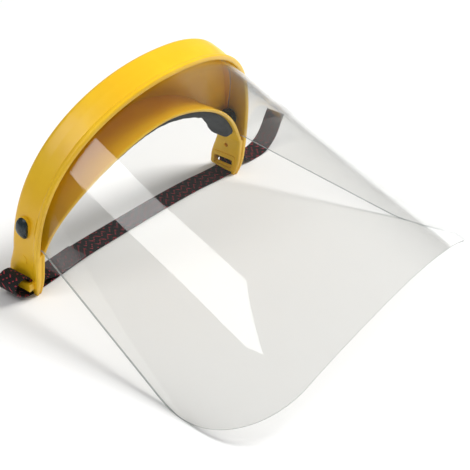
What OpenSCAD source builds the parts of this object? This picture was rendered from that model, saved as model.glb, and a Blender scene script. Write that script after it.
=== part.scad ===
// Browguard face shield, lying on its temple tips and the two chin corners of its visor.
// +Z points to the wearer's front, -Y to the chin, +X to the wearer's left.

/* [Browguard] */
// Half of the width across the outer band at the temples
band_half_w = 86.3; // [80:0.1:96]
// Height of the outer band's rim above the temple tips, at the forehead
rim_rise = 98.2; // [90:0.1:110]
// How much higher the crown edge of the outer band stands than its rim
crown_flare = 5.5; // [3:0.1:8]
// Squareness of the outer arch, 2 is an ellipse
band_square = 2.2; // [1.9:0.05:2.6]
// Height of the outer band along Y at the forehead
band_h_front = 17; // [14:0.5:24]
// Height of the outer band along Y at the temples
band_h_side = 17; // [14:0.5:20]
// How far the rim dips to the chin at the forehead
rim_dip = 14; // [8:0.5:18]
// Wall thickness of the moulding
wall = 2.2; // [1.8:0.1:2.6]
// Height where the temple plates end and the arch begins
plate_top = 22.5; // [21:0.5:24]
// Thickness of a temple plate at its tip
plate_t = 3.2; // [2.8:0.1:4]

/* [Forehead band] */
// Height of the forehead band's inner face above the temple tips
forehead_rise = 67; // [60:0.5:74]
// Squareness of the forehead arch
forehead_square = 1.8; // [1.7:0.05:2.2]
// Height of the forehead band along Y at the forehead
forehead_h = 25; // [20:0.5:30]
// Thickness of the foam sweatband
foam_t = 5; // [3:0.5:7]
// Width of the foam sweatband along Y
foam_w = 17; // [12:0.5:18]

/* [Visor] */
// Thickness of the clear sheet
sheet_t = 1; // [0.8:0.1:1.2]
// Half width of the sheet across its chin corners, before they are rounded
chin_half_w = 117.7; // [100:0.1:125]
// Height of the middle of the chin edge above the table
chin_rise = 41; // [36:0.5:50]
// Length from the rim to the chin edge, along Y at the sides
sheet_drop = 139; // [120:1:150]
// Radius of the chin corners on the flat sheet
corner_r = 49; // [30:1:60]
// How far the sheet reaches under the outer band at the temples
tuck_side = 13; // [12:0.5:14]
// How far the sheet reaches under the outer band at the forehead
tuck_front = 7; // [5:0.5:9]

/* [Studs] */
// Half length of the domed oval head, up and down
stud_head_r = 5.5; // [4.5:0.1:6.5]
// Half width of the domed oval head
stud_head_w = 3.3; // [3:0.1:4.2]
// Radius of the shank
stud_shank_r = 2.5; // [2:0.1:3]
// Height of the dome over the outer band
stud_dome = 2.4; // [1.5:0.1:3]
// Place of the stud's axis along Y, from the temple rim
stud_y = 8; // [7:0.5:9]
// Place of the stud's axis above the temple tips
stud_z = 36.5; // [34:0.5:40]

/* [Strap] */
// Width of the elastic strap
strap_w = 12.4; // [10:0.1:12.6]
// Thickness of the elastic strap
strap_t = 0.9; // [0.7:0.1:1]

/* [Hidden] */

run_fit = 0.06;          // radial play of the studs in the band and the sheet
sheet_gap = 0.45;        // play between the sheet and the outer band
arch_steps = 56;
plate_steps = 8;
tip_half_w = 84.2;       // half width across the temple tips
plate_in_x = tip_half_w - plate_t;
window_y = [3.2, 15.9];  // strap window in the temple plate, along Y
window_z = [3.6, 9.2];
bar_gap = 2.6;           // space between the plate and its keeper bar
bar_t = 1.8;
bar_z = [4.4, 8.6];

// ---------- curves ----------

function mix(a, b, k) = a + (b - a) * k;
function ease(k) = let (c = min(1, max(0, k))) c * c * (3 - 2 * c);

// Superellipse arch in the XZ plane: u runs from 0 at the right foot to 180 at the left foot
function arch(a, foot, top, square, u) =
    let (c = cos(u), s = max(0, sin(u)))
    [-a * sign(c) * pow(abs(c), 2 / square), foot + (top - foot) * pow(s, 2 / square)];

// Stations along the browguard, up one plate, over the arch and down the other. A station is
// [side, z] on a plate, whose side is -1 or 1, and [0, u] on the arch
arch_feet = [0, 0.5, 1.6];
stations = concat(
    [for (i = [0 : plate_steps - 1]) [-1, plate_top * i / plate_steps]],
    [for (u = arch_feet) [0, u]],
    [for (i = [1 : arch_steps - 1]) [0, 180 * i / arch_steps]],
    [for (i = [2 : -1 : 0]) [0, 180 - arch_feet[i]]],
    [for (i = [plate_steps - 1 : -1 : 0]) [1, plate_top * i / plate_steps]]);

// Foot angle of the forehead arch, where it reaches the top of the plates
forehead_foot = 6.5;
foot_angle = asin(pow((plate_top - forehead_foot) / (forehead_rise - forehead_foot),
                      forehead_square / 2));
forehead_half_w = 85;

function plate_outer(z) = mix(tip_half_w, band_half_w, sin(90 * z / plate_top));
function plate_inner(z) =
    let (end = -arch(forehead_half_w, forehead_foot, forehead_rise, forehead_square,
                     foot_angle)[0])
    mix(plate_in_x, end, pow(z / plate_top, 2));

// Outer surface at a share k of the way from the rim to the crown edge
function outer_at(st, k) = st[0] == 0
    ? arch(band_half_w, plate_top, rim_rise + crown_flare * k, band_square, st[1])
    : [st[0] * plate_outer(st[1]), st[1]];
function inner_at(st) = st[0] == 0
    ? arch(forehead_half_w, forehead_foot, forehead_rise, forehead_square,
           mix(foot_angle, 180 - foot_angle, st[1] / 180))
    : [st[0] * plate_inner(st[1]), st[1]];

// Outward normals in the XZ plane
function turn(d) = let (n = norm(d)) [-d[1], d[0]] / n;
function outer_normal(st, k) = st[0] != 0 ? [st[0], 0]
    : turn(outer_at([0, min(180, st[1] + 1)], k) - outer_at([0, max(0, st[1] - 1)], k));
function inner_normal(st) = st[0] != 0 ? [st[0], 0]
    : turn(inner_at([0, min(180, st[1] + 1)]) - inner_at([0, max(0, st[1] - 1)]));

// Share of the way up the arch: 0 on the plates, 1 at the forehead
function up(st) = st[0] == 0 ? sin(st[1]) : 0;
function low_z(st) = st[0] == 0 ? plate_top : st[1];

// Y of the rim, of the crown edge, and of the forehead band's two edges
function rim_y(st) = -1.2 + 2.2 * pow(1 - min(1, low_z(st) / 12), 2) - (rim_dip - 1.2) * pow(up(st), 2);
function crown_y(st) = mix(19 - (19 - band_h_side + 1.2) * ease((low_z(st) - 8) / 16),
                           -rim_dip + band_h_front, pow(up(st), 2));
function brow_y(st) = (rim_y(st) + 0.3) * (1 - up(st)) - 8 * pow(up(st), 2);
function top_y(st) = mix(crown_y(st), forehead_h - 8, ease(up(st) * 1.2));

// ---------- browguard ----------

// A point of the section, at the base point b, a distance out along n, and the height y
function pt(b, n, out, y) = [b[0] + n[0] * out, y, b[1] + n[1] * out];

function section(st) = let (
    o = outer_at(st, 0), k = outer_at(st, 1), i = inner_at(st),
    no = outer_normal(st, 0), nk = outer_normal(st, 1), ni = inner_normal(st),
    yr = rim_y(st), yk = crown_y(st), yb = brow_y(st), yt = top_y(st),
    room = norm(o - i),
    t = min(wall, 0.36 * room),
    swell = ease((up(st) - 0.02) * 7),
    open = ease(up(st) / sin(arch_feet[1])),
    ceil_o = mix(yr + 0.7, yk - wall, open),
    ceil_i = mix(yb + 0.5, yt - wall, open),
    bead = 0.2 + 0.7 * ease(low_z(st) / 6)
) [
    pt(o, no, bead * 0.4, yr),
    pt(o, no, bead, yr + 0.5),
    pt(o, no, bead, yr + 2),
    pt(o, no, 0, yr + 3),
    pt(mix(o, k, 0.55), mix(no, nk, 0.55), 0.15 + 0.2 * swell, mix(yr, yk, 0.55)),
    pt(k, nk, 0, yk - 2.4),
    pt(k, nk, -0.25 * t, yk - 0.7),
    pt(k, nk, -0.9 * t, yk),
    mix(pt(k, nk, -wall, yk), pt(i, ni, t, yt), 0.5) + [0, 0.15 + 0.65 * swell, 0],
    pt(i, ni, t * 0.8, yt),
    pt(i, ni, t * 0.2, yt - 0.2),
    pt(i, ni, 0, yt - 0.9),
    pt(i, ni, 0, yb + 0.7),
    pt(i, ni, t * 0.25, yb),
    pt(i, ni, t * 0.75, yb),
    pt(i, ni, t * 0.96, yb + 0.4),
    pt(i, ni, t, ceil_i),
    mix(pt(i, ni, t, ceil_i), pt(k, nk, -t, ceil_o), 0.5) + [0, 0.8 * open, 0],
    pt(mix(o, k, open), mix(no, nk, open), -t, ceil_o),
    pt(o, no, -t, yr + 0.4),
    pt(o, no, -t * 0.7, yr)
];

// Skin between rings of points. Each end is a strip of triangles between the ring's first half
// and its second, which suits an end that is bent or notched, or else one flat face
function end_faces(m, strip) = strip
    ? concat([for (j = [0 : m - 1]) if (2 * j < m - 2) [j, m - 1 - j, m - 2 - j]],
             [for (j = [0 : m - 1]) if (2 * j < m - 3) [j, m - 2 - j, j + 1]])
    : [[for (j = [m - 1 : -1 : 0]) j]];
module skin(rings, strip = false) {
    m = len(rings[0]);
    n = len(rings);
    faces = concat(
        end_faces(m, strip),
        [for (i = [0 : n - 2], j = [0 : m - 1]) let (a = i * m + j, b = i * m + (j + 1) % m)
            [a, b, a + m]],
        [for (i = [0 : n - 2], j = [0 : m - 1]) let (a = i * m + j, b = i * m + (j + 1) % m)
            [b, b + m, a + m]],
        [for (f = end_faces(m, strip)) [for (j = [len(f) - 1 : -1 : 0]) (n - 1) * m + f[j]]]);
    polyhedron([for (r = rings, p = r) p], faces, convexity = 10);
}

module strap_window(side) {
    translate([side * tip_half_w - 6, window_y[0], window_z[0]])
        cube([12, window_y[1] - window_y[0], window_z[1] - window_z[0]]);
}

// Clears the slanted lower edge of the plate for the strap, and leaves the chin side as a foot
module foot_cut(side) {
    translate([side * tip_half_w - 8, 0, 0])
        rotate([90, 0, 90])
            linear_extrude(16)
                polygon([[3.2, -1], [3.2, 1.5], [21, 3.6], [21, -1]]);
}

// Toothed bar outside the plate that the strap wraps round, with a post at each end
module keeper(side) {
    face = side * (tip_half_w + 0.6);
    reach = bar_gap + bar_t;
    for (y = [window_y[0] - 1.8, window_y[1]])
        translate([side > 0 ? face - 1.4 : face - reach, y, bar_z[0]])
            cube([reach + 1.4, 1.8, bar_z[1] - bar_z[0]]);
    translate([side > 0 ? face + bar_gap : face - reach, window_y[0] - 1, bar_z[0]])
        cube([bar_t, window_y[1] - window_y[0] + 2, bar_z[1] - bar_z[0]]);
    teeth = 8;
    pitch = (window_y[1] - window_y[0]) / teeth;
    for (i = [0 : teeth - 1])
        translate([side * (tip_half_w + 0.6 + bar_gap - 0.5), window_y[0] + pitch * (i + 0.3), bar_z[0] + 1])
            translate([side > 0 ? 0 : -0.7, 0, 0])
                cube([0.7, pitch * 0.4, bar_z[1] - bar_z[0] - 2]);
}

module stud_bore(side) {
    translate([side * (band_half_w + 4), stud_y, stud_z])
        rotate([0, -side * 90, 0])
            cylinder(r = stud_shank_r + run_fit, h = 10, $fn = 48);
}

// Upright oval outline of a stud's head, grown by a margin
module stud_outline(margin, h) {
    reach = stud_head_r - stud_head_w;
    linear_extrude(h) union() {
        for (end = [-1, 1]) translate([end * reach, 0]) circle(r = stud_head_w + margin, $fn = 64);
        square([2 * reach, 2 * (stud_head_w + margin)], center = true);
    }
}

// Flat oval land that the stud's head sits on
module stud_land(side) {
    translate([side * (band_half_w - 1.2), stud_y, stud_z])
        rotate([0, side * 90, 0]) stud_outline(0.3, 1.4);
}

module browguard() {
    color("#F2B417") translate(shift) difference() {
        union() {
            skin([for (st = stations) section(st)], strip = true);
            for (side = [-1, 1]) {
                keeper(side);
                stud_land(side);
                translate([side * (plate_outer(19) - 1), 8.2, 19])
                    rotate([0, side * 90, 0]) cylinder(r = 2.3, h = 1.5, $fn = 32);
            }
        }
        for (side = [-1, 1]) {
            strap_window(side);
            foot_cut(side);
            stud_bore(side);
            translate([side * (plate_inner(18) - 1.5), 8.6, 18])
                rotate([0, side * 90, 0]) cylinder(r = 1.2, h = 3.2, $fn = 32);
        }
    }
}

// ---------- visor ----------

brow_foot = 26;           // height of the sheet's lower corners at the rim
brow_from = asin(pow((brow_foot - plate_top) / (rim_rise - plate_top), band_square / 2));
chin_foot = -11.8;
chin_square = 1.5;
chin_round = 0.06;
chin_bow = 13.3;          // how far the middle of the chin edge stands out past the sides

// The sheet follows the inside of the outer band, and from its rim swings out to the chin edge
function brow_curve(v) = let (u = mix(brow_from, 180 - brow_from, v / 180), f = sin(u),
    n = outer_normal([0, u], 0),
    p = outer_at([0, u], 0) - n * (wall + sheet_gap + 0.3 * f * f))
    [p[0], -1.2 - (rim_dip - 1.2) * f * f, p[1]];
// The chin edge is the same kind of arch with its crest rounded off
function chin_curve(u) = let (c = cos(u), s = max(0, sin(u)))
    [-chin_half_w * c * pow((c * c + chin_round) / (1 + chin_round), 1 / chin_square - 0.5),
     -sheet_drop - chin_bow * s * s,
     chin_foot + (chin_rise - chin_foot) * pow(s, 2 / chin_square)];

// Lengths along a curve, and the curve's coordinates by share of its length
function run(pts, i = 0, sum = 0, out = []) = i == len(pts) ? out
    : let (s = i == 0 ? 0 : sum + norm(pts[i] - pts[i - 1])) run(pts, i + 1, s, concat(out, [s]));
function by_share(pts) = let (r = run(pts), all = r[len(r) - 1])
    [for (c = [0 : 2]) [for (i = [0 : len(pts) - 1]) [r[i] / all, pts[i][c]]]];
function at_share(tab, s) = [for (c = [0 : 2]) lookup(s, tab[c])];

curve_pts = 90;
brow_tab = by_share([for (i = [0 : curve_pts]) brow_curve(180 * i / curve_pts)]);
chin_tab = by_share([for (i = [0 : curve_pts]) chin_curve(180 * i / curve_pts)]);
brow_run = run([for (i = [0 : curve_pts]) brow_curve(180 * i / curve_pts)]);
sheet_w = brow_run[curve_pts];
sheet_l = norm(chin_curve(0) - brow_curve(0));

// The sheet leaves the band along the band's own slope and swings out to the straight ruling
bend = 0.16;
function ruled(t) = (t < bend ? t * t / (2 * bend) : t - bend / 2) / (1 - bend / 2);
function fall(s) = let (f = sin(180 * s)) [0, 1, 0.32 * pow(f, 2)];
function tuck(s) = mix(tuck_side, tuck_front, ease(sin(180 * s) * 1.3));

// Middle of the sheet: t runs from -1 at the tucked edge, through 0 at the rim, to 1 at the chin
function sheet_mid(s, t) = let (b = at_share(brow_tab, s), c = at_share(chin_tab, s)) t < 0
    ? b - fall(s) * tuck(s) * t
    : b + (c - b) * ruled(t);
function sheet_normal(s, t) = let (e = 0.004,
    ds = sheet_mid(min(1, s + e), t) - sheet_mid(max(0, s - e), t),
    dt = sheet_mid(s, t + e) - sheet_mid(s, t - e),
    n = cross(dt, ds)) n / norm(n);

// Rounding of the chin corners and of the small tucked corners, as a share taken off each side
tuck_r = 6;
function trim(t) = t > 1 - corner_r / sheet_l
    ? let (d = (t - 1) * sheet_l + corner_r) (corner_r - sqrt(max(0, corner_r * corner_r - d * d))) / sheet_w
    : t < -1 + tuck_r / tuck_side
    ? let (d = -t * tuck_side - tuck_side + tuck_r) (tuck_r - sqrt(max(0, tuck_r * tuck_r - d * d))) / sheet_w
    : 0;

sheet_rows = concat(
    [for (a = [0 : 30 : 60]) -1 + tuck_r / tuck_side * (1 - cos(a))],
    [for (i = [0 : 2]) mix(-1 + tuck_r / tuck_side, 0, i / 3)],
    [for (i = [0 : 5]) 2 * bend * i / 6],
    [for (i = [0 : 4]) mix(2 * bend, 1 - corner_r / sheet_l, i / 5)],
    [for (a = [0 : 10 : 90]) 1 - corner_r / sheet_l * (1 - sin(a))]);
sheet_cols = 48;

function sheet_pt(row, col, out) = let (
    cut = trim(row), s = mix(cut, 1 - cut, col / sheet_cols))
    sheet_mid(s, row) + sheet_normal(s, row) * out;
function sheet_ring(row) = concat(
    [for (c = [0 : sheet_cols]) sheet_pt(row, c, 0)],
    [for (c = [sheet_cols : -1 : 0]) sheet_pt(row, c, -sheet_t)]);

module visor() {
    color([0.9, 0.92, 0.93, 0.4]) translate(shift) difference() {
        skin([for (r = sheet_rows) sheet_ring(r)], strip = true);
        for (side = [-1, 1])
            stud_bore(side);
    }
}

// ---------- sweatband ----------

foam_steps = 44;
foam_ends = 0.03;         // share of the forehead arch left bare at each end
function foam_section(k) = let (st = [0, 180 * mix(foam_ends, 1 - foam_ends, k)],
    i = inner_at(st), n = inner_normal(st), y0 = brow_y(st) + 2, y1 = y0 + foam_w)
    [pt(i, n, -0.15, y0 + 0.5), pt(i, n, -0.15, y1 - 0.5), pt(i, n, -1, y1), pt(i, n, -foam_t + 1.2, y1),
     pt(i, n, -foam_t, y1 - 1.6), pt(i, n, -foam_t, y0 + 1.6), pt(i, n, -foam_t + 1.2, y0), pt(i, n, -1, y0)];

module sweatband() {
    color("#3A3E40") translate(shift)
        skin([for (i = [0 : foam_steps]) foam_section(i / foam_steps)]);
}

// ---------- strap ----------

// Middle of the strap in the XZ plane with the Y of its middle: from the sewn end, through the
// right window, round the bar, along the table, round the left bar and out to the free end
strap_y = (window_y[0] + window_y[1]) / 2;
strap_path = [
    [-44, 1.65, 12], [-52, 1.65, 11.4], [-60, 1.9, 10.6], [-68, 2.8, strap_y], [-75, 4.5, strap_y],
    [-81, 6, strap_y], [-84.6, 7, strap_y], [-86.1, 8.6, strap_y], [-87, 10.3, strap_y],
    [-89, 11.8, strap_y], [-92.5, 12, strap_y], [-95.6, 10.2, strap_y], [-96.4, 7.4, strap_y],
    [-94.6, 4.4, strap_y], [-91, 2, strap_y], [-87, 0.9, strap_y], [-82, 0.7, strap_y],
    [-74, 0.7, 10], [-64, 0.7, 10.6], [-52, 0.7, 11.6], [-38, 0.7, 12.4], [-20, 0.7, 12.6],
    [0, 0.7, 12.6], [20, 0.7, 12.6], [40, 0.7, 12.2], [56, 0.7, 11.4], [68, 0.7, 10.2],
    [78, 0.7, strap_y], [83, 0.7, strap_y], [85.4, 1.2, strap_y], [86.2, 3, strap_y],
    [86.3, 6, strap_y], [86.5, 8.8, strap_y], [87.4, 10.6, strap_y], [89.6, 11.2, strap_y],
    [92, 10, strap_y], [94.4, 7, strap_y], [97.6, 3.6, strap_y], [102, 1.4, strap_y],
    [108, 0.7, strap_y], [115, 0.8, strap_y], [121, 2.4, strap_y], [126.4, 6, strap_y],
    [130, 10.8, strap_y], [132.4, 16, strap_y], [135, 20.4, strap_y]];

function strap_normal(i) = let (a = strap_path[max(0, i - 1)],
    b = strap_path[min(len(strap_path) - 1, i + 1)], d = [b[0] - a[0], b[1] - a[1]])
    [-d[1], d[0]] / norm(d);
function strap_ring(i) = let (p = strap_path[i], n = strap_normal(i), h = strap_t / 2, w = strap_w / 2)
    [for (c = [[-h, -w], [h, -w], [h, w], [-h, w]])
        [p[0] + n[0] * c[0], p[2] + c[1], p[1] + n[1] * c[0]]];

module strap() {
    color("#1B1D1E") translate(shift)
        skin([for (i = [0 : len(strap_path) - 1]) strap_ring(i)]);
}

// ---------- studs ----------

land_x = band_half_w + 0.2;
sheet_in_x = 80.7;        // inside of the sheet at the top edge of a retainer
retainer_h = 2.2;

module stud(side) {
    color("#15262B") translate(shift) translate([side * (land_x + 0.05), stud_y, stud_z])
        rotate([0, side * 90, 0]) {
            dome_r = (stud_head_r * stud_head_r + stud_dome * stud_dome) / (2 * stud_dome);
            intersection() {
                translate([0, 0, stud_dome - dome_r]) sphere(r = dome_r, $fn = 96);
                stud_outline(0, stud_dome + 1);
            }
            translate([0, 0, -8.4]) cylinder(r = stud_shank_r, h = 8.6, $fn = 48);
        }
}

module retainer(side) {
    color("#15262B") translate(shift) translate([side * (sheet_in_x - 0.4), stud_y, stud_z])
        rotate([0, -side * 90, 0]) difference() {
            union() {
                cylinder(r = 5, h = 1, $fn = 64);
                cylinder(r = 3.9, h = retainer_h, $fn = 64);
            }
            translate([0, 0, -0.5]) cylinder(r = stud_shank_r, h = retainer_h + 1, $fn = 48);
        }
}

module stud_right() stud(-1);
module stud_left() stud(1);
module retainer_right() retainer(-1);
module retainer_left() retainer(1);

// The origin is the middle of the box round the whole object, on the table
sheet_edge = [for (r = sheet_rows, c = [0, sheet_cols]) sheet_pt(r, c, 0)];
reach_right = min([for (p = sheet_edge) p[0]]);
reach_left = max([for (p = strap_path) p[0]]) + 0.4;
reach_chin = -sheet_drop - chin_bow;
reach_crown = 19;
shift = [-(reach_right + reach_left) / 2, -(reach_chin + reach_crown) / 2, 0];

browguard();
visor();
sweatband();
strap();
stud_right();
stud_left();
retainer_right();
retainer_left();
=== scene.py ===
import math

import bmesh
import bpy
import numpy as np
from mathutils import Matrix


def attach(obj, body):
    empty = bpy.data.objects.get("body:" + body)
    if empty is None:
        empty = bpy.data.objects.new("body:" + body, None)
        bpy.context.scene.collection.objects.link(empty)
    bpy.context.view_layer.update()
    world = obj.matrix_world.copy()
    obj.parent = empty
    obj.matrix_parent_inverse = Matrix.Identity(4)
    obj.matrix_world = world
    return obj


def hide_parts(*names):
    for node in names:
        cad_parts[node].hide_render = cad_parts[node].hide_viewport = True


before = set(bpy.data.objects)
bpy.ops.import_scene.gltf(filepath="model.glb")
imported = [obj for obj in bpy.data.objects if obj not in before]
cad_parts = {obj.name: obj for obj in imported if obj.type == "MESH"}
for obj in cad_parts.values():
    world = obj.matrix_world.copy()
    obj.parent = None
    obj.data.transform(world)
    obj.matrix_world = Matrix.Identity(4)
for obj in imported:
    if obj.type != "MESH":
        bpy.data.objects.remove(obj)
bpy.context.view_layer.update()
print("frame loaded")

# Shapes are worked out in millimetres from the middle of the temple rims on the table,
# and this shift takes them to the row's frame
rowShift = np.array([-13.2975, 66.65, 0.0])


# ---------- camera ----------

cameraView = {
    "azimuth": -58.22,
    "elevation": 31.93,
    "roll": 6.1,
    "distance": 485.6,
    "target": (-46.7, -83.1, 54.0),
    "lens": 83.49,
}


def makeCamera(view):
    # back = unit vector from the target to the camera; right and up are turned about it by the roll
    azimuth, elevation, roll = np.radians([view["azimuth"], view["elevation"], view["roll"]])
    back = np.array([math.sin(azimuth) * math.cos(elevation),
                     -math.cos(azimuth) * math.cos(elevation), math.sin(elevation)])
    level = np.cross([0.0, 0.0, 1.0], back)
    level /= np.linalg.norm(level)
    upright = np.cross(back, level)
    right = math.cos(roll) * level + math.sin(roll) * upright
    up = -math.sin(roll) * level + math.cos(roll) * upright
    place = (np.array(view["target"]) + back * view["distance"] + rowShift) / 1000
    data = bpy.data.cameras.new("camera")
    data.lens = view["lens"]
    data.sensor_width = 36
    data.clip_start = 0.01
    data.clip_end = 20
    camera = bpy.data.objects.new("camera", data)
    bpy.context.scene.collection.objects.link(camera)
    turn = Matrix([list(row) for row in np.column_stack([right, up, back])]).to_4x4()
    camera.matrix_world = Matrix.Translation(place.tolist()) @ turn
    bpy.context.scene.camera = camera


makeCamera(cameraView)


# ---------- shader maths ----------

class Sock:
    # A node socket that Python's operators work on, each by adding one Math node
    def __init__(self, tree, socket):
        self.tree = tree
        self.socket = socket

    def maths(self, operation, other=None, first=None):
        values = [self if first is None else first]
        if other is not None:
            values.append(other)
        return self.tree.node("ShaderNodeMath", {"operation": operation}, dict(enumerate(values)))

    def __add__(self, other):
        return self.maths("ADD", other)

    def __radd__(self, other):
        return self.maths("ADD", other)

    def __sub__(self, other):
        return self.maths("SUBTRACT", other)

    def __rsub__(self, other):
        return self.maths("SUBTRACT", self, other)

    def __mul__(self, other):
        return self.maths("MULTIPLY", other)

    def __rmul__(self, other):
        return self.maths("MULTIPLY", other)

    def __truediv__(self, other):
        return self.maths("DIVIDE", other)

    def __pow__(self, other):
        return self.maths("POWER", other)

    def greater(self, other):
        return self.maths("GREATER_THAN", other)

    def absolute(self):
        return self.maths("ABSOLUTE")

    def sine(self):
        return self.maths("SINE")

    def fraction(self):
        return self.maths("FRACT")

    def clamped(self):
        return self.tree.node("ShaderNodeClamp", {}, {"Value": self})

    def smooth(self, low, high):
        # 0 at low and 1 at high, with a soft step between
        return self.tree.node("ShaderNodeMapRange", {"interpolation_type": "SMOOTHSTEP"},
                              {"Value": self, "From Min": low, "From Max": high})


class Tree:
    # One material's nodes
    def __init__(self, name):
        self.material = bpy.data.materials.new(name)
        self.material.use_nodes = True
        self.nodes = self.material.node_tree.nodes
        self.links = self.material.node_tree.links
        self.nodes.clear()

    def node(self, kind, settings, values, out=0):
        made = self.nodes.new(kind)
        stops = None
        for key, value in settings.items():
            if key == "stops":
                stops = value
            else:
                setattr(made, key, value)
        if stops is not None:
            ramp = made.color_ramp
            while len(ramp.elements) < len(stops):
                ramp.elements.new(0.5)
            for element, (place, colour) in zip(ramp.elements, stops):
                element.position = place
                element.color = (*colour, 1)
        for key, value in values.items():
            socket = made.inputs[key]
            if isinstance(value, Sock):
                self.links.new(value.socket, socket)
            else:
                socket.default_value = value
        return Sock(self, made.outputs[out]) if len(made.outputs) else made

    def place(self, scale=1.0):
        # Object coordinates, in millimetres times the scale
        here = self.node("ShaderNodeTexCoord", {}, {}, "Object")
        return self.node("ShaderNodeVectorMath", {"operation": "SCALE"},
                         {0: here, "Scale": 1000.0 * scale})

    def noise(self, vector, scale, detail=3.0, rough=0.5):
        return self.node("ShaderNodeTexNoise", {},
                         {"Vector": vector, "Scale": scale, "Detail": detail, "Roughness": rough})

    def mix(self, amount, one, two, blend="MIX"):
        return self.node("ShaderNodeMix", {"data_type": "RGBA", "blend_type": blend},
                         {0: amount, 6: one, 7: two}, 2)

    def bump(self, height, distance, strength=1.0):
        return self.node("ShaderNodeBump", {},
                         {"Height": height, "Distance": distance, "Strength": strength})

    def finish(self, shader):
        self.node("ShaderNodeOutputMaterial", {}, {"Surface": shader})
        return self.material


shellLook = {
    "colour": (0.93, 0.57, 0.012, 1),
    "deep": (0.86, 0.49, 0.008, 1),
    "pale": (0.94, 0.585, 0.04, 1),
    "roughness": 0.34,
    "grain": 0.000012,
}


def shellMaterial(look):
    # Moulded plastic: a faint cloud in the pigment, fine mould grain, slow ripple, light scuffs
    tree = Tree("mouldedYellow")
    place = tree.place()
    cloud = tree.noise(place, 0.035, 3.0)
    scuffs = tree.noise(place, 0.22, 5.0, 0.65).smooth(0.56, 0.72)
    grain = tree.noise(place, 2.6, 2.0, 0.6)
    ripple = tree.noise(place, 0.09, 1.0)
    colour = tree.mix(cloud.smooth(0.3, 0.7), look["deep"], look["colour"])
    colour = tree.mix(scuffs * 0.12, colour, look["pale"])
    roughness = look["roughness"] + scuffs * 0.10 + (grain - 0.5) * 0.10
    fine = tree.bump(grain, look["grain"])
    slow = tree.node("ShaderNodeBump", {},
                     {"Height": ripple, "Distance": 0.0004, "Strength": 0.5, "Normal": fine})
    return tree.finish(tree.node("ShaderNodeBsdfPrincipled", {}, {
        "Base Color": colour, "Roughness": roughness, "Normal": slow,
        "IOR": 1.5, "Coat Weight": 0.12, "Coat Roughness": 0.12}))


sheetLook = {
    "tint": (0.928, 0.928, 0.922, 1),
    "edgeColour": (0.42, 0.45, 0.45, 1),
    "mirrorFace": 0.035,
}


def sheetMaterial(look):
    # Clear plastic: mirrors a little face on and much more at a slant, and passes the rest,
    # share = face + (1 - face) * facing^5
    tree = Tree("clearSheet")
    facing = tree.node("ShaderNodeLayerWeight", {}, {"Blend": 0.5}, "Facing")
    haze = tree.noise(tree.place(), 0.06, 4.0, 0.6).smooth(0.45, 0.75)
    share = look["mirrorFace"] + (1 - look["mirrorFace"]) * facing ** 5.0
    through = tree.node("ShaderNodeBsdfTransparent", {}, {"Color": look["tint"]})
    gloss = tree.node("ShaderNodeBsdfPrincipled", {}, {
        "Base Color": (0.97, 0.98, 0.98, 1), "Metallic": 1.0, "Roughness": 0.012 + haze * 0.03})
    return tree.finish(tree.node("ShaderNodeMixShader", {}, {0: share, 1: through, 2: gloss}))


def sheetEdgeMaterial(look):
    # The sawn edge: milky where the tool left it, half open to what is behind
    tree = Tree("sheetEdge")
    marks = tree.noise(tree.place(), 1.4, 3.0).smooth(0.35, 0.65)
    through = tree.node("ShaderNodeBsdfTransparent", {}, {"Color": (0.50, 0.53, 0.53, 1)})
    milky = tree.node("ShaderNodeBsdfPrincipled", {}, {
        "Base Color": look["edgeColour"], "Roughness": 0.18 + marks * 0.2, "IOR": 1.58})
    share = 0.5 + marks * 0.15
    return tree.finish(tree.node("ShaderNodeMixShader", {}, {0: share, 1: through, 2: milky}))


foamLook = {"colour": (0.040, 0.045, 0.050, 1), "pale": (0.085, 0.092, 0.098, 1)}


def foamMaterial(look):
    # Closed-cell foam: fine cells, with painted shade in the pits between them
    tree = Tree("greyFoam")
    place = tree.place()
    cells = tree.node("ShaderNodeTexVoronoi", {"feature": "F1"},
                      {"Vector": place, "Scale": 2.2}, "Distance")
    soft = tree.noise(place, 0.12, 3.0)
    # lighter at random through the soft noise and at the cells' middles; the pits between cells
    # take the dark colour as painted shade
    colour = tree.mix((soft * 0.6 + (0.5 - cells) * 0.5).clamped(), look["colour"], look["pale"])
    height = 1 - cells + tree.noise(place, 0.8, 2.0) * 0.6
    return tree.finish(tree.node("ShaderNodeBsdfPrincipled", {}, {
        "Base Color": colour, "Roughness": 0.82 + cells * 0.12, "IOR": 1.4,
        "Normal": tree.bump(height, 0.00012)}))


strapLook = {
    "yarn": (0.004, 0.0055, 0.0055, 1),
    "lit": (0.013, 0.015, 0.015, 1),
    "thread": (0.46, 0.028, 0.05, 1),
    "grey": (0.085, 0.080, 0.082, 1),
    "ribs": 1.05,
    "picks": 0.8,
    "zigzag": 6.2,
    "spacing": 4.1,
    "dash": 1.9,
    "sewnEnd": 24.0,
    # where the free tail's painted grey veil starts, a painted reflection of the visor, in
    # millimetres along the strap
    "veiledTailStart": 286.0,
}


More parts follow.
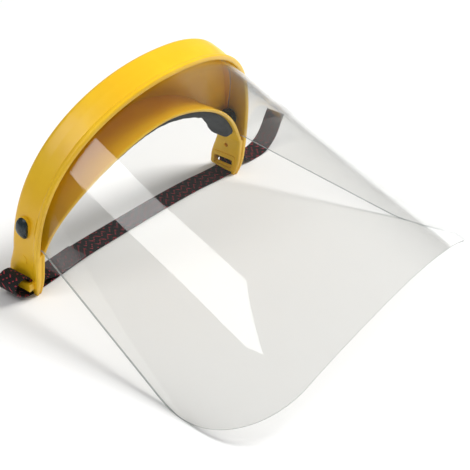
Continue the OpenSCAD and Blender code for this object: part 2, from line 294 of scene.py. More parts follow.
def strapMaterial(look):
    # Elastic webbing. Its UV map runs along and across in millimetres. Ribs run along it, picks
    # across, and coloured thread floats over them in zigzags broken into dashes
    tree = Tree("elasticWeave")
    uv = tree.node("ShaderNodeUVMap", {"uv_map": "weave"}, {})
    along = tree.node("ShaderNodeSeparateXYZ", {}, {0: uv}, 0)
    across = tree.node("ShaderNodeSeparateXYZ", {}, {0: uv}, 1)
    wobble = tree.noise(uv, 0.5, 2.0) - 0.5
    rib = (across * (2 * math.pi / look["ribs"])).sine().absolute()
    pick = (along * (2 * math.pi / look["picks"]) + across * 1.3).sine() * 0.5 + 0.5
    fold = ((along / look["zigzag"]).fraction() - 0.5).absolute() * look["zigzag"]
    line = ((across - fold + wobble * 0.5) / look["spacing"]).fraction() - 0.5
    dash = (along * (2 * math.pi / look["dash"]) + across * 1.6).sine().greater(0.15)
    thread = (1 - line.absolute().smooth(0.085, 0.13)) * dash
    sewn = 1 - along.smooth(look["sewnEnd"] - 1, look["sewnEnd"] + 1)
    # The sewn-back flap is greyer yarn, its own colour. The free tail's last stretch is painted
    # grey too, a painted reflection of the visor lying over it
    sewnFlapAndVeil = sewn + along.smooth(look["veiledTailStart"], look["veiledTailStart"] + 12)
    # painted highlight: the raised rib and pick tops go from the yarn colour to its lit copy
    base = tree.mix(rib * pick, look["yarn"], look["lit"])
    greyOfFlapAndVeil = tree.mix(tree.noise(uv, 1.7, 2.0), look["grey"], (0.14, 0.125, 0.13, 1))
    base = tree.mix(sewnFlapAndVeil * 0.75, base, greyOfFlapAndVeil)
    colour = tree.mix(thread * (1 - sewnFlapAndVeil * 0.45), base, look["thread"])
    height = rib * 0.6 + pick * 0.35 + thread * 0.5
    return tree.finish(tree.node("ShaderNodeBsdfPrincipled", {}, {
        "Base Color": colour, "Roughness": 0.78 - thread * 0.2, "IOR": 1.4,
        "Sheen Weight": 0.04, "Sheen Roughness": 0.5, "Normal": tree.bump(height, 0.00018)}))


studLook = {"colour": (0.008, 0.019, 0.024, 1), "pale": (0.018, 0.036, 0.044, 1)}


def studMaterial(look):
    # Glossy black-blue moulding with faint handling marks
    tree = Tree("darkStud")
    place = tree.place()
    marks = tree.noise(place, 0.9, 4.0, 0.6).smooth(0.5, 0.75)
    return tree.finish(tree.node("ShaderNodeBsdfPrincipled", {}, {
        "Base Color": tree.mix(marks, look["colour"], look["pale"]),
        "Roughness": 0.24 + marks * 0.2, "IOR": 1.5,
        "Normal": tree.bump(tree.noise(place, 2.4, 2.0), 0.00001)}))


shellPaint = shellMaterial(shellLook)
sheetPaint = sheetMaterial(sheetLook)
sheetEdgePaint = sheetEdgeMaterial(sheetLook)
foamPaint = foamMaterial(foamLook)
strapPaint = strapMaterial(strapLook)
studPaint = studMaterial(studLook)
print("materials made")


# ---------- mesh helpers ----------

def addPiece(name, points, faces, paints, slots=None, smoothAngle=35):
    # points in millimetres; slots is each face's material number
    mesh = bpy.data.meshes.new(name)
    mesh.from_pydata(((points + rowShift) / 1000).tolist(), [], faces)
    for paint in paints:
        mesh.materials.append(paint)
    mesh.polygons.foreach_set("use_smooth", np.ones(len(mesh.polygons), bool))
    if slots is not None:
        mesh.polygons.foreach_set("material_index", np.asarray(slots, np.int32))
    mesh.update()
    mesh.set_sharp_from_angle(angle=math.radians(smoothAngle))
    piece = bpy.data.objects.new(name, mesh)
    bpy.context.scene.collection.objects.link(piece)
    return piece


def gridFaces(rows, columns, closedRows=False, closedColumns=False, start=0):
    # Quads between neighbouring points of a grid of rows by columns, as one index array
    i = np.arange(rows if closedRows else rows - 1)[:, None]
    j = np.arange(columns if closedColumns else columns - 1)[None, :]
    below, beside = (i + 1) % rows, (j + 1) % columns
    quads = np.stack([i * columns + j, i * columns + beside,
                      below * columns + beside, below * columns + j], -1)
    return (quads.reshape(-1, 4) + start).tolist()


def sweptFaces(rings, size):
    # Sides of a sweep of closed rings, and one flat face on each end
    return (gridFaces(rings, size, closedColumns=True)
            + [list(range(size))[::-1], list(range((rings - 1) * size, rings * size))])


def roundCorners(loop, reach, cuts=4):
    # Each corner P of the closed loops becomes the curve (1-t)^2 A + 2t(1-t) P + t^2 B, where A and
    # B lie on its sides, no further off than reach or 0.48 of the side
    before = np.roll(loop, 1, axis=1) - loop
    after = np.roll(loop, -1, axis=1) - loop
    stepA = np.linalg.norm(before, axis=2, keepdims=True)
    stepB = np.linalg.norm(after, axis=2, keepdims=True)
    reach = np.broadcast_to(np.asarray(reach, float), loop.shape[:2])[..., None]
    a = loop + before / stepA * np.minimum(reach, stepA * 0.48)
    b = loop + after / stepB * np.minimum(reach, stepB * 0.48)
    t = np.linspace(0, 1, cuts + 1)[None, None, :, None]
    curve = ((1 - t) ** 2 * a[:, :, None] + 2 * t * (1 - t) * loop[:, :, None]
             + t ** 2 * b[:, :, None])
    return curve.reshape(loop.shape[0], -1, 3)


def mix(a, b, k):
    return a + (b - a) * k


def ease(k):
    c = np.clip(k, 0, 1)
    return c * c * (3 - 2 * c)


def turned(name, profile, centre, side, paint, steps=64):
    # A lathe shape about X. Profile rows are (radius, distance out) and close on themselves
    profile = np.asarray(profile, float)
    angle = np.linspace(0, 2 * np.pi, steps, endpoint=False)
    radius, out = profile[:, 0][None, :], profile[:, 1][None, :]
    points = np.stack([np.broadcast_to(centre[0] + side * out, (steps, len(profile))),
                       centre[1] + radius * np.cos(angle)[:, None],
                       centre[2] + radius * np.sin(angle)[:, None]], -1)
    faces = gridFaces(steps, len(profile), closedRows=True, closedColumns=True)
    if side > 0:
        faces = [face[::-1] for face in faces]
    return addPiece(name, points.reshape(-1, 3), faces, [paint])


def outwards(piece):
    # Turns every face outwards, for meshes whose faces came in mixed
    work = bmesh.new()
    work.from_mesh(piece.data)
    bmesh.ops.recalc_face_normals(work, faces=work.faces)
    work.to_mesh(piece.data)
    work.free()


# ---------- browguard ----------

shell = {
    "halfWidth": 86.3, "rimRise": 98.2, "flare": 5.5, "square": 2.2, "bandSide": 17.0,
    "bandFront": 17.0, "rimDip": 14.0, "wall": 2.2, "plateTop": 22.5, "tipHalf": 84.2,
    "plateInner": 81.0, "foreHalf": 85.0, "foreFoot": 6.5, "foreRise": 67.0, "foreSquare": 1.8,
    "foreHigh": 25.0, "archRings": 300, "plateRings": 26, "corner": 0.55,
}


def arch(half, foot, top, square, u):
    # Superellipse in XZ: x = -half cos(u)^(2/square), z = foot + (top - foot) sin(u)^(2/square)
    c, s = np.cos(np.radians(u)), np.maximum(0, np.sin(np.radians(u)))
    return np.stack([-half * np.sign(c) * np.abs(c) ** (2 / square),
                     foot + (top - foot) * s ** (2 / square)], -1)


foreShare = (shell["plateTop"] - shell["foreFoot"]) / (shell["foreRise"] - shell["foreFoot"])
footAngle = math.degrees(math.asin(foreShare ** (shell["foreSquare"] / 2)))


def plateOuter(z):
    # The outer face's distance from the middle up a temple plate
    return mix(shell["tipHalf"], shell["halfWidth"], np.sin(np.radians(90 * z / shell["plateTop"])))


def outerAt(side, value, k):
    onArch = arch(shell["halfWidth"], shell["plateTop"], shell["rimRise"] + shell["flare"] * k,
                  shell["square"], value)
    onPlate = np.stack([side * plateOuter(value), value], -1)
    return np.where((side == 0)[:, None], onArch, onPlate)


def innerAt(side, value):
    onArch = arch(shell["foreHalf"], shell["foreFoot"], shell["foreRise"], shell["foreSquare"],
                  mix(footAngle, 180 - footAngle, value / 180))
    end = arch(shell["foreHalf"], shell["foreFoot"], shell["foreRise"], shell["foreSquare"],
               np.array([180 - footAngle]))[0, 0]
    x = mix(shell["plateInner"], end, (value / shell["plateTop"]) ** 2)
    onPlate = np.stack([side * x, value], -1)
    return np.where((side == 0)[:, None], onArch, onPlate)


def normalOf(curve, side, value):
    # The step along the curve, turned a quarter and made one long; a plate's normal is its side
    step = curve(side, np.minimum(180, value + 1)) - curve(side, np.maximum(0, value - 1))
    turn = np.stack([-step[:, 1], step[:, 0]], -1)
    turn /= np.maximum(np.linalg.norm(turn, axis=1, keepdims=True), 1e-9)
    flat = np.stack([side, np.zeros_like(side)], -1)
    return np.where((side == 0)[:, None], turn, flat)


def bandCurves(side, value):
    # Y of the rim, the crown edge and the forehead band's chin and crown edges along the stations
    onArch = side == 0
    up = np.where(onArch, np.sin(np.radians(value)), 0)
    lowZ = np.where(onArch, shell["plateTop"], value)
    rim = -1.2 + 2.2 * (1 - np.minimum(1, lowZ / 12)) ** 2 - (shell["rimDip"] - 1.2) * up ** 2
    crown = mix(19 - (19 - shell["bandSide"] + 1.2) * ease((lowZ - 8) / 16),
                -shell["rimDip"] + shell["bandFront"], up ** 2)
    brow = (rim + 0.3) * (1 - up) - 8 * up ** 2
    top = mix(crown, shell["foreHigh"] - 8, ease(up * 1.2))
    return up, lowZ, rim, crown, brow, top


def at(base, normal, out, y):
    # The point a distance out from the base along its normal, at height y
    flat = base + normal * np.broadcast_to(out, base.shape[:1])[:, None]
    return np.stack([flat[:, 0], np.broadcast_to(y, base.shape[:1]), flat[:, 1]], -1)


def shellSections(side, value):
    o, k, i = outerAt(side, value, 0), outerAt(side, value, 1), innerAt(side, value)
    no = normalOf(lambda s, v: outerAt(s, v, 0), side, value)
    nk = normalOf(lambda s, v: outerAt(s, v, 1), side, value)
    ni = normalOf(innerAt, side, value)
    up, lowZ, yr, yk, yb, yt = bandCurves(side, value)
    t = np.minimum(shell["wall"], 0.36 * np.linalg.norm(o - i, axis=1))
    swell = ease((up - 0.02) * 7)
    opened = ease(up / math.sin(math.radians(0.5)))
    ceilO = mix(yr + 0.7, yk - shell["wall"], opened)
    ceilI = mix(yb + 0.5, yt - shell["wall"], opened)
    bead = 0.2 + 0.7 * ease(lowZ / 6)
    roof = np.array([0, 1, 0]) * (0.15 + 0.65 * swell)[:, None]
    ceiling = np.array([0, 0.8, 0]) * opened[:, None]
    return np.stack([
        at(o, no, bead * 0.4, yr),
        at(o, no, bead, yr + 0.5),
        at(o, no, bead, yr + 2),
        at(o, no, 0, yr + 3),
        at(mix(o, k, 0.55), mix(no, nk, 0.55), 0.15 + 0.2 * swell, mix(yr, yk, 0.55)),
        at(k, nk, 0, yk - 2.4),
        at(k, nk, -0.25 * t, yk - 0.7),
        at(k, nk, -0.9 * t, yk),
        mix(at(k, nk, -shell["wall"], yk), at(i, ni, t, yt), 0.5) + roof,
        at(i, ni, t * 0.8, yt),
        at(i, ni, t * 0.2, yt - 0.2),
        at(i, ni, 0, yt - 0.9),
        at(i, ni, 0, yb + 0.7),
        at(i, ni, t * 0.25, yb),
        at(i, ni, t * 0.75, yb),
        at(i, ni, t * 0.96, yb + 0.4),
        at(i, ni, t, ceilI),
        mix(at(i, ni, t, ceilI), at(k, nk, -t, ceilO), 0.5) + ceiling,
        at(mix(o, k, opened[:, None]), mix(no, nk, opened[:, None]), -t, ceilO),
        at(o, no, -t, yr + 0.4),
        at(o, no, -t * 0.7, yr),
    ], axis=1)


def shellStations():
    # Up one plate, over the arch with close rings where the groove opens, and down the other
    plate = np.linspace(0, shell["plateTop"], shell["plateRings"], endpoint=False)
    feet = np.array([0, 0.12, 0.24, 0.36, 0.5])
    over = np.linspace(1.0, 179.0, shell["archRings"])
    value = np.concatenate([plate, feet, over, 180 - feet[::-1], plate[::-1]])
    side = np.concatenate([-np.ones_like(plate), np.zeros(len(over) + 2 * len(feet)),
                           np.ones_like(plate)])
    return side, value


def box(centre, size, corner=0.0, axis=0, cuts=5):
    # A box's points and faces, its four edges along the axis rounded to the corner radius
    half = np.asarray(size, float) / 2
    a, b = [n for n in range(3) if n != axis]
    angle = np.linspace(0, np.pi / 2, cuts + 1)
    loop = []
    for signA, signB, start in ((1, 1, 0), (-1, 1, 1), (-1, -1, 2), (1, -1, 3)):
        turn = angle + start * np.pi / 2
        loop.append(np.stack([signA * (half[a] - corner) + corner * np.cos(turn),
                              signB * (half[b] - corner) + corner * np.sin(turn)], -1))
    loop = np.vstack(loop)
    points = np.zeros((2, len(loop), 3))
    points[:, :, a], points[:, :, b] = loop[:, 0], loop[:, 1]
    points[0, :, axis], points[1, :, axis] = -half[axis], half[axis]
    return points.reshape(-1, 3) + centre, sweptFaces(2, len(loop))


def disc(centre, radius, length, steps=48):
    # A cylinder along X
    turn = np.linspace(0, 2 * np.pi, steps, endpoint=False)
    ring = np.stack([np.zeros(steps), radius * np.cos(turn), radius * np.sin(turn)], -1)
    points = np.stack([ring - [length / 2, 0, 0], ring + [length / 2, 0, 0]])
    return points.reshape(-1, 3) + centre, sweptFaces(2, steps)


def joined(shapes):
    points, faces, start = [], [], 0
    for p, f in shapes:
        points.append(p)
        faces += [[n + start for n in face] for face in f]
        start += len(p)
    return np.vstack(points), faces


def cutAway(piece, shapes, operation="DIFFERENCE"):
    # Takes the shapes out of the piece with Blender's exact boolean and keeps the result
    points, faces = joined(shapes)
    cutter = addPiece("cutter", points, faces, [shellPaint])
    outwards(cutter)
    modifier = piece.modifiers.new("cut", "BOOLEAN")
    modifier.operation = operation
    modifier.solver = "EXACT"
    modifier.object = cutter
    bpy.context.view_layer.update()
    cut = piece.evaluated_get(bpy.context.evaluated_depsgraph_get())
    done = bpy.data.meshes.new_from_object(cut)
    piece.modifiers.clear()
    piece.data = done
    bpy.data.objects.remove(cutter)
    done.set_sharp_from_angle(angle=math.radians(32))


keeper = {"gap": 2.6, "bar": 1.8, "low": 4.4, "high": 8.6, "teeth": 8,
          "windowY": (3.2, 15.9), "windowZ": (3.6, 9.2)}
fitting = {
    "frameX": 81.3, "frameSize": (1.8, 15.6, 10.0), "frameZ": 6.9, "frameCorner": 1.2,
    "bossY": 8.2, "bossZ": 19.0, "bossRadius": 2.3, "bossHigh": 1.5,
    "holeX": 80.6, "holeY": 8.6, "holeZ": 17.6, "holeRadius": 1.3, "holeDeep": 4.4,
    "footSlant": ((3.2, -1), (3.2, 1.5), (21, 3.6), (21, -1)),
}
stud = {"y": 8.0, "z": 36.5, "head": 5.5, "wide": 3.3, "dome": 2.4, "shank": 2.5, "land": 86.5,
        "long": 8.4, "play": 0.06}


def studReach(steps, margin=0.0):
    # Distance from the middle to the upright oval's edge each way round: wide / sin on its straight
    # sides, and c cos + (w^2 - c^2 sin^2)^(1/2) on its round ends, whose middles are c off
    turn = np.linspace(0, 2 * np.pi, steps, endpoint=False)
    middle, wide = stud["head"] - stud["wide"], stud["wide"] + margin
    side, end = np.abs(np.sin(turn)), np.abs(np.cos(turn))
    roundEnd = middle * end + np.sqrt(np.maximum(0, wide ** 2 - (middle * side) ** 2))
    straight = wide / np.maximum(side, 1e-6)
    return turn, np.where(straight * end < middle, straight, roundEnd)


def studLand(s):
    turn, reach = studReach(96, 0.3)
    ring = np.stack([np.zeros_like(turn), reach * np.sin(turn), reach * np.cos(turn)], -1)
    x = stud["land"] - 0.7
    points = np.stack([ring + [s * x + e, stud["y"], stud["z"]] for e in (-0.7, 0.7)])
    return points.reshape(-1, 3), sweptFaces(2, len(turn))


def makeShell():
    side, value = shellStations()
    rings = roundCorners(shellSections(side, value), shell["corner"])
    points = rings.reshape(-1, 3)
    piece = addPiece("browguardShell", points, sweptFaces(len(rings), rings.shape[1]), [shellPaint])
    outwards(piece)
    windowY, windowZ = keeper["windowY"], keeper["windowZ"]
    added, cuts = [], []
    for s in (-1, 1):
        middleY, middleZ = sum(windowY) / 2, sum(windowZ) / 2
        added.append(box([s * fitting["frameX"], middleY, fitting["frameZ"]],
                         fitting["frameSize"], fitting["frameCorner"]))
        boss = [s * (plateOuter(fitting["bossZ"]) - 0.4), fitting["bossY"], fitting["bossZ"]]
        added.append(disc(boss, fitting["bossRadius"], fitting["bossHigh"]))
        added.append(studLand(s))
        window = [12, windowY[1] - windowY[0], windowZ[1] - windowZ[0]]
        cuts.append(box([s * 83.5, middleY, middleZ], window, 0.9))
        hole = [s * fitting["holeX"], fitting["holeY"], fitting["holeZ"]]
        cuts.append(disc(hole, fitting["holeRadius"], fitting["holeDeep"], 32))
        points = np.array([[s * shell["tipHalf"] - 8 + 16 * e, y, z]
                           for e in (0, 1) for y, z in fitting["footSlant"]])
        cuts.append((points, sweptFaces(2, 4)))
    cutAway(piece, added, "UNION")
    cutAway(piece, cuts)
    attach(piece, "browguard")
    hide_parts("browguard")
    return piece


def makeKeeper(name, s):
    # The toothed bar outside a temple plate with a post at each end, as boxes that run into each
    # other in one piece
    windowY, face = keeper["windowY"], shell["tipHalf"] + 0.6
    z, high = (keeper["low"] + keeper["high"]) / 2, keeper["high"] - keeper["low"]
    reach = keeper["gap"] + keeper["bar"]
    wide = windowY[1] - windowY[0]
    shapes = [box([s * (face + keeper["gap"] + keeper["bar"] / 2), sum(windowY) / 2, z],
                  [keeper["bar"], wide + 3.4, high], 0.45, 1)]
    for y in (windowY[0] - 0.9, windowY[1] + 0.9):
        shapes.append(box([s * (face + (reach - 1.4) / 2), y, z],
                          [reach + 1.0, 1.8, high - 0.2], 0.4, 0))
    pitch = wide / keeper["teeth"]
    for n in range(keeper["teeth"]):
        shapes.append(box([s * (face + keeper["gap"] - 0.1), windowY[0] + pitch * (n + 0.5), z],
                          [0.8, pitch * 0.42, high - 1.8], 0.15, 2))
    points, faces = joined(shapes)
    piece = addPiece(name, points, faces, [shellPaint])
    outwards(piece)
    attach(piece, "browguard")
    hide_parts("browguard")


makeShell()
makeKeeper("keeperRight", -1)
makeKeeper("keeperLeft", 1)
print("browguard made")


# ---------- visor ----------

visor = {
    "thick": 1.0, "gap": 0.45, "foot": 26.0, "drop": 139.0, "bow": 13.3, "chinHalf": 117.7,
    "chinFoot": -11.8, "chinRise": 41.0, "chinSquare": 1.5, "chinRound": 0.06, "corner": 49.0,
    "tuckSide": 13.0, "tuckFront": 7.0, "tuckCorner": 6.0, "bend": 0.16, "columns": 220,
}


def browCurve(v):
    # The outer band's arch, drawn in by its wall and the play
    share = (visor["foot"] - shell["plateTop"]) / (shell["rimRise"] - shell["plateTop"])
    start = math.degrees(math.asin(share ** (shell["square"] / 2)))
    u = mix(start, 180 - start, v / 180)
    f = np.sin(np.radians(u))
    flat = np.zeros_like(u)
    n = normalOf(lambda s, w: outerAt(s, w, 0), flat, u)
    p = outerAt(flat, u, 0) - n * (shell["wall"] + visor["gap"] + 0.3 * f * f)[:, None]
    return np.stack([p[:, 0], -1.2 - (shell["rimDip"] - 1.2) * f * f, p[:, 1]], -1)


def chinCurve(u):
    c, s = np.cos(np.radians(u)), np.maximum(0, np.sin(np.radians(u)))
    soft = visor["chinRound"]
    rounded = ((c * c + soft) / (1 + soft)) ** (1 / visor["chinSquare"] - 0.5)
    return np.stack([-visor["chinHalf"] * c * rounded, -visor["drop"] - visor["bow"] * s * s,
                     visor["chinFoot"] + (visor["chinRise"] - visor["chinFoot"])
                     * s ** (2 / visor["chinSquare"])], -1)


def byShare(curve):
    # The curve as a function of the share of its length
    points = curve(np.linspace(0, 180, 721))
    run = np.concatenate([[0], np.cumsum(np.linalg.norm(np.diff(points, axis=0), axis=1))])
    share = run / run[-1]
    return lambda s: np.stack([np.interp(s, share, points[:, n]) for n in range(3)], -1), run[-1]


browAt, browLength = byShare(browCurve)
chinAt, chinLength = byShare(chinCurve)
sheetLong = float(np.linalg.norm(chinCurve(np.array([0.0])) - browCurve(np.array([0.0]))))


def sheetMiddle(s, t):
    # Above the rim, t < 0, the sheet runs up under the band. Below it swings out to straight lines,
    # b + (c - b) * r(t), with r = t^2 / 2 bend up to the bend and t - bend / 2 after it
    b, c, bend = browAt(s), chinAt(s), visor["bend"]
    f = np.sin(np.pi * s)
    fall = np.stack([np.zeros_like(s), np.ones_like(s), 0.32 * f * f], -1)
    tuck = mix(visor["tuckSide"], visor["tuckFront"], ease(f * 1.3))
    r = np.where(t < bend, t * t / (2 * bend), t - bend / 2) / (1 - bend / 2)
    under = b - fall * (tuck * t)[:, None]
    out = b + (c - b) * r[:, None]
    return np.where((t < 0)[:, None], under, out)


def sheetTrim(t):
    # Share taken off each side so that the corners are round
    long, corner, tuck = sheetLong, visor["corner"], visor["tuckCorner"]
    d = np.clip((t - 1) * long + corner, 0, corner)
    chin = corner - np.sqrt(corner ** 2 - d ** 2)
    e = np.clip(-t * visor["tuckSide"] - visor["tuckSide"] + tuck, 0, tuck)
    brow = tuck - np.sqrt(tuck ** 2 - e ** 2)
    return (chin + brow) / browLength


def makeVisor():
    corner = visor["corner"] / sheetLong
    tuck = visor["tuckCorner"] / visor["tuckSide"]
    rows = np.concatenate([
        -1 + tuck * (1 - np.cos(np.radians(np.arange(0, 90, 10)))),
        np.linspace(-1 + tuck, 0, 6, endpoint=False),
        np.linspace(0, 2 * visor["bend"], 26, endpoint=False),
        np.linspace(2 * visor["bend"], 1 - corner, 24, endpoint=False),
        1 - corner * (1 - np.sin(np.radians(np.linspace(0, 90, 46))))])
    share = np.linspace(0, 1, visor["columns"] + 1)
    t, k = np.meshgrid(rows, share, indexing="ij")
    cut = sheetTrim(t)
    s = mix(cut, 1 - cut, k).ravel()
    t = t.ravel()
    middle = sheetMiddle(s, t)
    step = 0.004
    ds = sheetMiddle(np.minimum(1, s + step), t) - sheetMiddle(np.maximum(0, s - step), t)
    dt = sheetMiddle(s, t + step) - sheetMiddle(s, t - step)
    normal = np.cross(dt, ds)
    normal /= np.linalg.norm(normal, axis=1, keepdims=True)
    shape = (len(rows), len(share))
    outer = middle.reshape(*shape, 3)
    inner = (middle - normal * visor["thick"]).reshape(*shape, 3)
    count = shape[0] * shape[1]
    faces = [face[::-1] for face in gridFaces(*shape)] + gridFaces(*shape, start=count)
    number = np.arange(count).reshape(shape)
    rim = np.concatenate([number[0, :-1], number[:-1, -1], number[-1, :0:-1], number[:0:-1, 0]])
    # the edge bulges a hair, so that it catches light as a sawn and broken edge does
    outline = outer.reshape(-1, 3)[rim]
    inside = inner.reshape(-1, 3)[rim]
    away = np.cross(np.roll(outline, -1, axis=0) - np.roll(outline, 1, axis=0), outline - inside)
    away /= np.linalg.norm(away, axis=1, keepdims=True)
    bead = (outline + inside) / 2 + away * 0.12
    points = np.vstack([outer.reshape(-1, 3), inner.reshape(-1, 3), bead])
    n = len(rim)
    i, j = np.arange(n), (np.arange(n) + 1) % n
    edges = np.stack([rim[i], rim[j], 2 * count + j, 2 * count + i], -1).tolist()
    edges += np.stack([2 * count + i, 2 * count + j, count + rim[j], count + rim[i]], -1).tolist()
    slots = [0] * len(faces) + [1] * len(edges)
    piece = addPiece("visorSheet", points, faces + edges, [sheetPaint, sheetEdgePaint], slots)
    outwards(piece)
    # holes that the studs' shanks pass through, with a little play
    cutAway(piece, [disc([s * 82, stud["y"], stud["z"]], stud["shank"] + stud["play"], 8)
                    for s in (-1, 1)])
    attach(piece, "visor")
    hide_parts("visor")


makeVisor()
print("visor made", round(browLength), round(chinLength), round(sheetLong))


# ---------- sweatband ----------

foam = {"thick": 5.0, "wide": 17.0, "ends": 0.03, "rings": 260, "endRound": 8.0}


def makeSweatband():
    # A closed strip glued inside the forehead band. Its face is crowned, and its ends are rounded
    k = np.linspace(0, 1, foam["rings"])
    value = 180 * mix(foam["ends"], 1 - foam["ends"], k)
    side = np.zeros_like(value)
    i, n = innerAt(side, value), normalOf(innerAt, side, value)
    brow = bandCurves(side, value)[4]
    run = np.concatenate([[0], np.cumsum(np.linalg.norm(np.diff(i, axis=0), axis=1))])
    fromEnd = np.minimum(run, run[-1] - run)
    d = np.clip(foam["endRound"] - fromEnd, 0, foam["endRound"])
    pull = foam["endRound"] - np.sqrt(np.maximum(foam["endRound"] ** 2 - d ** 2, 0.3))
    low, high = brow + 2 + pull, brow + 2 + foam["wide"] - pull
    full = foam["thick"] * (1 - 0.45 * (d / foam["endRound"]) ** 3)
    wave = 0.12 * np.sin(run * 0.55) + 0.08 * np.sin(run * 1.27 + 1.0)
    across = np.linspace(0, 1, 17)
    # the face goes from the low edge over a crown to the high edge, its depth by 1 - |2a - 1|^6
    crown = 1 - np.abs(2 * across - 1) ** 6
    y = low[:, None] + (high - low)[:, None] * across[None, :]
    uneven = 0.985 + 0.015 * np.cos(6 * across)
    depth = 1.0 + (full + wave - 1.0)[:, None] * crown[None, :] * uneven[None, :]
    face = np.stack([i[:, 0][:, None] - n[:, 0][:, None] * depth, y,
                     i[:, 1][:, None] - n[:, 1][:, None] * depth], -1)
    backY = low[:, None] + (high - low)[:, None] * np.linspace(0.985, 0.015, 5)[None, :]
    back = np.stack([(i[:, 0] - n[:, 0] * 0.15)[:, None] + backY * 0, backY,
                     (i[:, 1] - n[:, 1] * 0.15)[:, None] + backY * 0], -1)
    rings = np.concatenate([face, back], axis=1)
    piece = addPiece("foamSweatband", rings.reshape(-1, 3), sweptFaces(len(rings), rings.shape[1]),
                     [foamPaint], smoothAngle=60)
    outwards(piece)
    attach(piece, "browguard")
    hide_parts("sweatband")


makeSweatband()
print("sweatband made")


# ---------- strap ----------

strap = {"wide": 12.4, "thick": 0.9, "step": 0.6}
mid = sum(keeper["windowY"]) / 2
# Route of the strap's middle as (x, z, y): sewn end, right window, round the bar, along the table,
# behind and over the left bar, free end
strapRoute = [
    (-44, 1.65, 12), (-52, 1.65, 11.4), (-60, 1.9, 10.6), (-68, 2.8, mid), (-75, 4.5, mid),
    (-81, 6, mid), (-84.6, 7, mid), (-86.1, 8.6, mid), (-87, 10.3, mid), (-89, 11.8, mid),
    (-92.5, 12, mid), (-95.6, 10.2, mid), (-96.4, 7.4, mid), (-94.6, 4.4, mid), (-91, 2, mid),
    (-87, 0.9, mid), (-82, 0.7, mid), (-74, 0.7, 10), (-64, 0.7, 10.6), (-52, 0.7, 11.6),
    (-38, 0.7, 12.4), (-20, 0.7, 12.6), (0, 0.7, 12.6), (20, 0.7, 12.6), (40, 0.7, 12.2),
    (56, 0.7, 11.4), (68, 0.7, 10.2), (78, 0.7, mid), (83, 0.7, mid), (85.4, 1.2, mid),
    (86.2, 3, mid), (86.3, 6, mid), (86.5, 8.8, mid), (87.4, 10.6, mid), (89.6, 11.2, mid),
    (92, 10, mid), (94.4, 7, mid), (97.6, 3.6, mid), (102, 1.4, mid), (108, 0.7, mid),
    (115, 0.8, mid), (121, 2.4, mid), (126.4, 6, mid), (130, 10.8, mid), (132.4, 16, mid),
    (135, 20.4, mid)]


def smoothRoute(route, step):
    # Catmull-Rom through the points, resampled to even steps
    p = np.array(route, float)[:, [0, 2, 1]]
    p = np.vstack([2 * p[0] - p[1], p, 2 * p[-1] - p[-2]])
    t = np.linspace(0, 1, 24, endpoint=False)[None, :, None]
    a, b, c, d = (p[n:len(p) - 3 + n, None] for n in range(4))
    curve = 0.5 * (2 * b + (c - a) * t + (2 * a - 5 * b + 4 * c - d) * t ** 2
                   + (3 * b - a - 3 * c + d) * t ** 3)
    curve = np.vstack([curve.reshape(-1, 3), p[-2]])
    run = np.concatenate([[0], np.cumsum(np.linalg.norm(np.diff(curve, axis=0), axis=1))])
    even = np.linspace(0, run[-1], int(run[-1] / step))
    return np.stack([np.interp(even, run, curve[:, n]) for n in range(3)], -1), even


def addUv(piece, name, uv):
    layer = piece.data.uv_layers.new(name=name)
    corners = np.empty(len(piece.data.loops), np.int32)
    piece.data.loops.foreach_get("vertex_index", corners)
    layer.data.foreach_set("uv", uv[corners].astype(np.float32).ravel())


def makeStrap():
    # A rounded flat section swept along the route; its map runs along and across in millimetres
    path, run = smoothRoute(strapRoute, strap["step"])
    ahead = np.gradient(path, axis=0)
    ahead[:, 1] = 0
    ahead /= np.linalg.norm(ahead, axis=1, keepdims=True)
    out = np.stack([-ahead[:, 2], np.zeros(len(path)), ahead[:, 0]], -1)
    half, w = strap["thick"] / 2, strap["wide"] / 2
    turn = np.linspace(-np.pi / 2, np.pi / 2, 7)
    right = np.stack([w - half + half * np.cos(turn), half * np.sin(turn)], -1)
    flat = np.linspace(w - half, -w + half, 14)[1:-1]
    section = np.vstack([right, np.stack([flat, np.full(12, half)], -1), -right,
                         np.stack([-flat, np.full(12, -half)], -1)])
    rings = (path[:, None] + out[:, None] * section[None, :, 1:]
             + np.array([0, 1, 0]) * section[None, :, :1])
    piece = addPiece("elasticStrap", rings.reshape(-1, 3), sweptFaces(*rings.shape[:2]),
                     [strapPaint], smoothAngle=50)
    uv = np.stack([np.repeat(run, len(section)), np.tile(section[:, 0] + w, len(path))], -1)
    addUv(piece, "weave", uv)
    outwards(piece)
    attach(piece, "browguard")
    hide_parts("strap")
    return run[-1]


strapLength = makeStrap()
print("strap made", round(strapLength))


# ---------- studs ----------

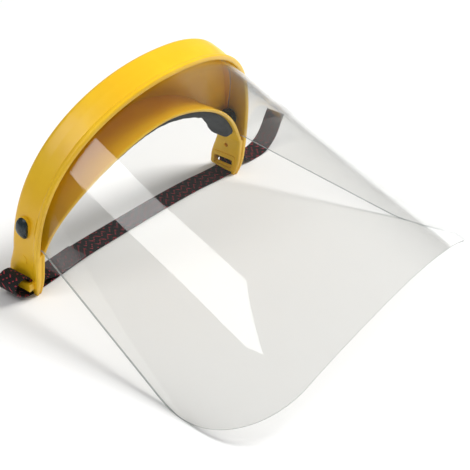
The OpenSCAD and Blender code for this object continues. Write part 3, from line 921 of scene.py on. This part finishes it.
def makeStud(name, node, s):
    # Oval domed head with a rolled edge on a round shank. Head rows are a share of the outline; the
    # dome's height is dome - sphere + (sphere^2 - r^2)^(1/2)
    dome, shank = stud["dome"], stud["shank"]
    sphere = (stud["head"] ** 2 + dome ** 2) / (2 * dome)
    turn, reach = studReach(96)
    rows = []
    crown = [(k, 0) for k in np.linspace(0.05, 0.9, 18)]
    for share, drop in crown + [(0.94, 0.02), (0.975, 0.09), (0.995, 0.24)]:
        r = reach * share
        rows.append((r, dome - sphere + np.sqrt(sphere ** 2 - r ** 2) - drop))
    for inset, out in ((0, 0.16), (0.06, 0.06), (0.3, 0.0)):
        rows.append((reach - inset, np.full_like(reach, out)))
    end = -stud["long"]
    for r, out in ((shank + 0.3, 0.0), (shank, -0.3), (shank, end + 0.4), (shank - 0.4, end)):
        rows.append((np.full_like(reach, r), np.full_like(reach, out)))
    centre = np.array([s * (stud["land"] + 0.05), stud["y"], stud["z"]])
    body = np.stack([np.stack([s * out, r * np.sin(turn), r * np.cos(turn)], -1)
                     for r, out in rows])
    poles = np.array([[s * dome, 0, 0], [s * end, 0, 0]])
    points = np.vstack([body.reshape(-1, 3), poles]) + centre
    steps, count = len(turn), len(rows)
    faces = gridFaces(count, steps, closedColumns=True)
    i = np.arange(steps)
    faces += np.stack([np.full(steps, count * steps), (i + 1) % steps, i], -1).tolist()
    last = (count - 1) * steps
    faces += np.stack([np.full(steps, count * steps + 1), last + i,
                       last + (i + 1) % steps], -1).tolist()
    piece = addPiece(name, points, faces, [studPaint])
    outwards(piece)
    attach(piece, "browguard")
    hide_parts(node)


def makeRetainer(name, node, s):
    # Stepped ring pressed on the shank inside the sheet
    base = s * 80.3
    profile = [(2.5, 0), (4.85, 0), (5.0, 0.15), (5.0, 0.85), (4.85, 1.0), (4.05, 1.0), (3.9, 1.15),
               (3.9, 2.0), (3.7, 2.2), (2.5, 2.2)]
    piece = turned(name, profile, (base, stud["y"], stud["z"]), -s, studPaint)
    outwards(piece)
    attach(piece, "browguard")
    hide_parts(node)


for word, s in (("Right", -1), ("Left", 1)):
    makeStud("stud" + word, "stud_" + word.lower(), s)
    makeRetainer("retainer" + word, "retainer_" + word.lower(), s)
print("studs made")


# ---------- floor and light ----------

studio = {
    "floor": (0.90, 0.90, 0.895, 1),
    "world": 0.30,
    "key": 19.0,
    "strip": 4.2,
    "stripHeight": 900.0,
}
# Outline of the strip light above the right side, as (x, y)
stripOutline = [(-1400, 760), (-1250, 528), (-962, 284), (-608, 2), (-414, -154), (-335, -204),
                (-166, -213), (-250, -125), (-316, -60), (-350, -27), (-397, 41), (-430, 83),
                (-449, 368)]


def makeFloor():
    tree = Tree("paleFloor")
    mottle = tree.noise(tree.place(), 0.01, 3.0)
    colour = tree.mix(mottle * 0.2, studio["floor"], (0.87, 0.87, 0.865, 1))
    paint = tree.finish(tree.node("ShaderNodeBsdfPrincipled", {},
                                  {"Base Color": colour, "Roughness": 0.7}))
    size = 2500.0
    points = np.array([[-size, -size, 0], [size, -size, 0], [size, size, 0], [-size, size, 0]])
    floor = addPiece("floor", points, [[0, 1, 2, 3]], [paint])


def addPanel(name, place, target, size, power):
    # A soft panel at a place in the shape frame, facing its target
    light = bpy.data.lights.new(name, "AREA")
    light.shape = "RECTANGLE"
    light.size, light.size_y = size[0] / 1000, size[1] / 1000
    light.energy = power
    panel = bpy.data.objects.new(name, light)
    bpy.context.scene.collection.objects.link(panel)
    place, target = np.array(place, float), np.array(target, float)
    back = place - target
    back /= np.linalg.norm(back)
    side = np.cross([0, 0, 1], back)
    side /= np.linalg.norm(side)
    up = np.cross(back, side)
    turn = Matrix([list(row) for row in np.column_stack([side, up, back])]).to_4x4()
    panel.matrix_world = Matrix.Translation(((place + rowShift) / 1000).tolist()) @ turn
    return panel


def makeLight():
    world = bpy.data.worlds.new("studio")
    bpy.context.scene.world = world
    world.use_nodes = True
    world.node_tree.nodes["Background"].inputs["Color"].default_value = (1, 1, 1, 1)
    world.node_tree.nodes["Background"].inputs["Strength"].default_value = studio["world"]
    key = addPanel("key", (660, -385, 1100), (0, -50, 0), (480, 480), studio["key"])
    key.visible_glossy = False
    makeStrip()
    scene = bpy.context.scene
    scene.view_settings.view_transform = "Standard"


def makeStrip():
    # A long soft box whose sharp mirror image lies on the sheet
    tree = Tree("stripLight")
    drift = tree.noise(tree.place(), 0.002, 1.0)
    colour = tree.mix(drift, (1.0, 0.995, 0.98, 1), (0.985, 0.99, 1.0, 1))
    paint = tree.finish(tree.node("ShaderNodeEmission", {},
                                  {"Color": colour, "Strength": studio["strip"]}))
    points = np.array([(x, y, studio["stripHeight"]) for x, y in stripOutline], float)
    strip = addPiece("stripLight", points, [list(range(len(points)))], [paint])


makeFloor()
makeLight()
print("studio made")
